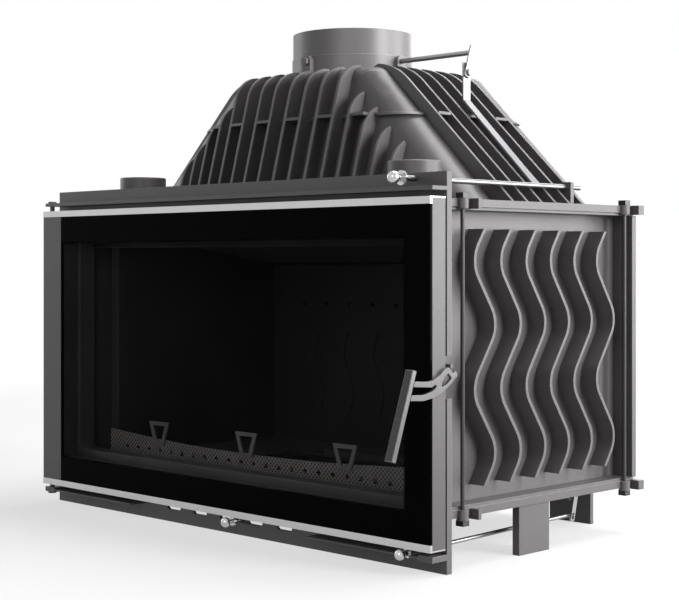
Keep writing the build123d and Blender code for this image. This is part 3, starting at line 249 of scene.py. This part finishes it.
def painted_iron(
    name, colour, roughness, grain=cast_grain, depth=0.35, mottle=cast_mottle, gloss=0.5
):
    """Satin paint on a cast or rolled surface, with its grain and blotches, and lighter edges for
    worn paint and a painted highlight.
    """
    material = bpy.data.materials.new(name)
    material.use_nodes = True
    tree = material.node_tree
    shader = tree.nodes["Principled BSDF"]
    shader.inputs["Specular IOR Level"].default_value = gloss
    place = Tone.node(tree, "ShaderNodeTexCoord", {}, {}, "Object")
    fine = noise(tree, place, 1 / grain, detail=3.0)
    broad = noise(tree, place, broad_per_metre, detail=4.0)
    blotch = noise(tree, place, blotch_per_metre, detail=3.0)
    shade = broad.swing() * mottle + blotch.swing() * (mottle * blotch_share)
    shade = shade + fine.swing() * grain_shade + 1.0
    rounded = Tone.node(tree, "ShaderNodeBevel", {"samples": bevel_samples}, {"Radius": cast_edge})
    square = Tone.node(tree, "ShaderNodeNewGeometry", {}, {}, "Normal")
    turned = Tone.node(tree, "ShaderNodeVectorMath", {"operation": "DOT_PRODUCT"}, {
        0: rounded, 1: square,
    }, "Value")
    # Edges are painted lighter: partly worn paint, partly a painted highlight.
    worn_and_highlit = ((1.0 - turned) * edge_wear_and_highlight).held()
    paint = shaded(tree, colour, shade)
    bare_and_highlit = (*(part * edge_highlight_gain for part in colour), 1.0)
    coat = Tone.mixed(tree, worn_and_highlit, paint, bare_and_highlit)
    relief = Tone.node(tree, "ShaderNodeBump", {}, {
        "Strength": depth, "Distance": grain_height, "Height": fine, "Normal": rounded,
    })
    rough = (fine.swing() * grain_roughness + broad.swing() * broad_roughness + roughness).held()
    tree.links.new(coat.socket, shader.inputs["Base Color"])
    tree.links.new(rough.socket, shader.inputs["Roughness"])
    tree.links.new(relief.socket, shader.inputs["Normal"])
    return material


def wear(material, *names):
    """Give the material to CAD nodes."""
    for name in names:
        for slot in nodes[name].material_slots:
            slot.material = material


body_iron = painted_iron("satin_body_iron", body_grey, roughness=0.42)
wear(body_iron, "front_frame", "top_ledge", "bottom_ledges", "base_plate", "top_plate",
     "side_panel_right", "side_panel_left", "wall_fins_right", "wall_fins_left", "rear_panel",
     "side_legs", "rear_legs", "top_caps", "register_cover", "damper_rod_bracket", "air_box",
     "air_shaft_bracket", "ash_box", "hinge_pins", "catch_pin")

tie_steel = painted_iron("satin_tie_steel", tie_grey, roughness=0.35, grain=rolled_grain, depth=0.1)
wear(tie_steel, "tie_rods", "tie_rod_nuts")


# Hood: a cast smoke hood with upright fins on its front and sides, and the round
# outlet bolted to it. The hood's paint is a little darker than the body's, and the
# outlet's is painted lighter, as painted light from above falling on it.

hood_grey = (0.105, 0.099, 0.101)
# Painted light: the outlet's lighter paint stands in for the light from above on it.
collar_lit_grey = (0.20, 0.189, 0.193)
hood_mottle = 0.2

hood_iron = painted_iron("satin_hood_iron", hood_grey, roughness=0.36, mottle=hood_mottle)
wear(hood_iron, "hood", "hood_front_fins", "hood_side_fins")

collar_lit_iron = painted_iron("satin_collar_painted_light", collar_lit_grey, roughness=0.34)
wear(collar_lit_iron, "flue_collar", "collar_bolts")


# Fasteners: hexagon screws hold the rear panel along its top and foot. Each has a
# dished head on a round washer.

screw_across = 0.010
screw_height = 0.0042
screw_washer_r = 0.0075
screw_washer = 0.0012
screw_rim = 0.14
screw_slope = 0.05
screw_dish = 0.15
screw_edge = 0.0003
screw_places = (-0.385, -0.165, 0.165, 0.385)
screw_margin = 0.014
rear_rib_depth = 0.0055


def hexagon_head(name, across, height, washer_r, washer):
    """A dished hexagon head on a round washer, standing up from the origin."""
    bpy.ops.object.select_all(action="DESELECT")
    bpy.ops.mesh.primitive_cylinder_add(
        vertices=6, radius=across / 3 ** 0.5, depth=height, location=(0, 0, washer + height / 2)
    )
    head = bpy.context.object
    head.name = name
    bpy.ops.object.transform_apply(location=True)
    bpy.ops.object.mode_set(mode="EDIT")
    bpy.ops.mesh.select_mode(type="FACE")
    bpy.ops.mesh.select_all(action="DESELECT")
    bpy.ops.object.mode_set(mode="OBJECT")
    for face in head.data.polygons:
        face.select = face.normal.z > 0.9
    bpy.ops.object.mode_set(mode="EDIT")
    bpy.ops.mesh.inset(thickness=across * screw_rim, depth=0.0)
    bpy.ops.mesh.inset(thickness=across * screw_slope, depth=-height * screw_dish)
    bpy.ops.object.mode_set(mode="OBJECT")
    bpy.ops.mesh.primitive_cylinder_add(
        vertices=40, radius=washer_r, depth=washer, location=(0, 0, washer / 2)
    )
    bpy.ops.object.transform_apply(location=True)
    head.select_set(True)
    bpy.context.view_layer.objects.active = head
    bpy.ops.object.join()
    edges = head.modifiers.new("edges", "BEVEL")
    edges.width = screw_edge
    edges.segments = 2
    edges.limit_method = "ANGLE"
    bpy.ops.object.modifier_apply(modifier=edges.name)
    bpy.ops.object.shade_smooth_by_angle(angle=radians(40))
    return head


def copies(pattern, places, turn):
    """A copy of a head at each place, with the turn given, and each with its own mesh."""
    made = []
    for number, place in enumerate(places):
        copy = pattern.copy()
        copy.data = pattern.data.copy()
        copy.data.transform(Matrix.Translation(place) @ turn)
        copy.name = f"{pattern.name}_{number + 1}"
        scene.collection.objects.link(copy)
        made.append(copy)
    bpy.data.objects.remove(pattern)
    return made


panel_low, panel_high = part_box("rear_panel")
panel_back = panel_high[1] - rear_rib_depth
screw_rows = (panel_low[2] + screw_margin, panel_high[2] - screw_margin)
screws = copies(
    hexagon_head("rear_panel_screw", screw_across, screw_height, screw_washer_r, screw_washer),
    [(x, panel_back, z) for z in screw_rows for x in screw_places],
    Matrix.Rotation(radians(-90), 4, "X"),
)

for piece in screws:
    piece.data.materials.append(tie_steel)
    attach(piece, "casing")


# Lining: the walls, grate, guard and baffle inside are bare cast iron, matt and nearly
# black. The hooks and the strip over the glass are painted lighter, as worn iron and as
# painted light on them. The guard is a strip pierced all over, with its holes painted on
# as dark dots of painted shade.

lining_black = (0.05, 0.047, 0.046)
hook_worn_and_lit_grey = (0.22, 0.21, 0.205)
guard_grey = (0.42, 0.40, 0.39)
guard_pitch = 0.0075
hole_shade_black = (0.004, 0.004, 0.004, 1.0)
hole_rim = 0.15
hole_sharpness = 6.0

lining_iron = painted_iron("matt_lining", lining_black, roughness=0.62, grain=0.002, gloss=0.3)
wear(lining_iron, "liner_right", "liner_left", "back_liner", "baffle", "grate", "ash_pan",
     "damper_blade", "flap_blade")

# Painted light: the lighter grey of the hooks and the strip over the glass is partly worn iron and
# partly painted light.
hook_worn_and_lit_iron = painted_iron("worn_and_lit_hook_iron", hook_worn_and_lit_grey, roughness=0.5, grain=0.002, gloss=0.4)
wear(hook_worn_and_lit_iron, "log_hooks", "air_deflector")


def pierced(material, pitch):
    """Rows of small holes pressed through a sheet, painted on as dark dots of painted shade."""
    tree = material.node_tree
    shader = tree.nodes["Principled BSDF"]
    place = Tone.node(tree, "ShaderNodeTexCoord", {}, {}, "Object")
    across = Tone.node(tree, "ShaderNodeSeparateXYZ", {}, {"Vector": place}, "X")
    up = Tone(across.socket.node.outputs["Z"])
    # The holes are painted: dark dots of painted shade stand in for the openings.
    hole_shade = ((across.wave(pitch) * up.wave(pitch) - hole_rim) * hole_sharpness).held()
    coat = Tone(shader.inputs["Base Color"].links[0].from_socket)
    holed = Tone.mixed(tree, hole_shade, coat, hole_shade_black)
    tree.links.new(holed.socket, shader.inputs["Base Color"])
    return material


guard_sheet = painted_iron("pierced_guard", guard_grey, roughness=0.5, grain=0.004, gloss=0.3)
guard_iron = pierced(guard_sheet, guard_pitch)
wear(guard_iron, "log_guard")


# Door: a folded steel frame with a satin paint, bright trims along its top and foot,
# and a full pane of heat-proof glass with a black print round its edge. A black rope
# in its back seals it.

door_grey = (0.095, 0.090, 0.091)
trim_grey = (0.50, 0.50, 0.50)
streak_stretch = (1.0, 14.0, 14.0)
streak_shade = 0.05
cloud_per_metre = 40.0
cloud_shade = 0.08
window_half_width = 0.397
window_half_height = 0.1835
window_middle_x = 0.0035
window_middle_z = 0.2655
print_sharpness = 250.0
print_black = (0.0015, 0.0015, 0.0015, 1.0)
smoke_black = (0.004, 0.0037, 0.0035, 1.0)
smoke_per_metre = 6.0
smoke_swing = 0.2
glass_clear = 0.84
rope_black = (0.03, 0.03, 0.03)

door_steel = painted_iron(
    "satin_door_steel", door_grey, roughness=0.36, grain=rolled_grain, depth=0.12
)
wear(door_steel, "door_frame", "door_hinge_strip")


def bare_metal(name, colour, roughness, grain):
    """Bare or plated metal, with the fine streaks and cloudiness of its finish."""
    material = bpy.data.materials.new(name)
    material.use_nodes = True
    tree = material.node_tree
    shader = tree.nodes["Principled BSDF"]
    shader.inputs["Metallic"].default_value = 1.0
    place = Tone.node(tree, "ShaderNodeTexCoord", {}, {}, "Object")
    along = Tone.node(tree, "ShaderNodeMapping", {}, {"Vector": place, "Scale": streak_stretch})
    streak = noise(tree, along, 1 / grain, detail=2.0)
    cloud = noise(tree, place, cloud_per_metre, detail=3.0)
    tint = shaded(tree, colour, streak.swing() * streak_shade + cloud.swing() * cloud_shade + 1.0)
    rough = (cloud.swing() * cloud_shade + streak.swing() * streak_shade + roughness).held()
    tree.links.new(tint.socket, shader.inputs["Base Color"])
    tree.links.new(rough.socket, shader.inputs["Roughness"])
    return material


trim_steel = bare_metal("brushed_trim", trim_grey, roughness=0.26, grain=0.02)
wear(trim_steel, "door_trim_top", "door_trim_bottom")

glass = bpy.data.materials.new("printed_glass")
glass.use_nodes = True
glass_tree = glass.node_tree
glass_shader = glass_tree.nodes["Principled BSDF"]
glass_shader.inputs["Roughness"].default_value = 0.04
glass_shader.inputs["Specular IOR Level"].default_value = 0.012
glass_place = Tone.node(glass_tree, "ShaderNodeTexCoord", {}, {}, "Object")
glass_x = Tone.node(glass_tree, "ShaderNodeSeparateXYZ", {}, {"Vector": glass_place}, "X")
glass_z = Tone(glass_x.socket.node.outputs["Z"])
glass_side = (window_half_width - (glass_x - window_middle_x).size()) * print_sharpness
glass_end = (window_half_height - (glass_z - window_middle_z).size()) * print_sharpness
glass_in = glass_side.held() * glass_end.held()
glass_smoke = noise(glass_tree, glass_place, smoke_per_metre, detail=3.0)
glass_alpha = 1.0 - glass_in * (glass_clear + glass_smoke.swing() * smoke_swing)
glass_tint = Tone.mixed(glass_tree, glass_in, print_black, smoke_black)
glass_tree.links.new(glass_alpha.socket, glass_shader.inputs["Alpha"])
glass_tree.links.new(glass_tint.socket, glass_shader.inputs["Base Color"])
wear(glass, "door_glass")

rope = painted_iron("black_rope", rope_black, roughness=0.9, grain=0.001, gloss=0.1)
wear(rope, "door_gasket")


# Handle: a cast lever with a flat grip that has a black inlay in a metal rim. Its
# shaft turns in the door frame, and its hook takes the catch pin on the front plate.

lever_grey = (0.16, 0.155, 0.157)
grip_grey = (0.13, 0.13, 0.13)
inlay_black = (0.02, 0.02, 0.02)

lever_iron = painted_iron("satin_lever_iron", lever_grey, roughness=0.32, grain=0.001, depth=0.1)
wear(lever_iron, "handle_lever", "handle_pivot")
grip_steel = bare_metal("satin_grip", grip_grey, roughness=0.28, grain=0.01)
wear(grip_steel, "handle_grip")
inlay = painted_iron("black_inlay", inlay_black, roughness=0.3, depth=0.02)
wear(inlay, "handle_inlay")


# Controls: the damper and air rods, straps and levers are zinc-plated steel, and
# their ball knobs are polished chrome. The register's slide is dark rolled steel, and its
# dark tone is also painted shade behind the register's vents.

zinc_grey = (0.30, 0.30, 0.31)
slide_shade_grey = (0.05, 0.048, 0.048)
chrome_grey = (0.52, 0.52, 0.53)

zinc = bare_metal("zinc_plate", zinc_grey, roughness=0.34, grain=0.006)
wear(zinc, "damper_rod", "damper_strap", "damper_lever", "damper_bolt", "damper_shaft",
     "air_rod", "flap_shaft", "flap_lever")
# Painted shade: the slide's dark tone also stands in for the shade seen through the register's
# vents.
slide_shade_steel = painted_iron(
    "dark_slide_steel_painted_shade", slide_shade_grey, roughness=0.4, grain=rolled_grain, depth=0.1
)
wear(slide_shade_steel, "register_slide")
chrome = bare_metal("polished_chrome", chrome_grey, roughness=0.09, grain=0.01)
wear(chrome, "damper_knob", "air_knob", "register_knob")
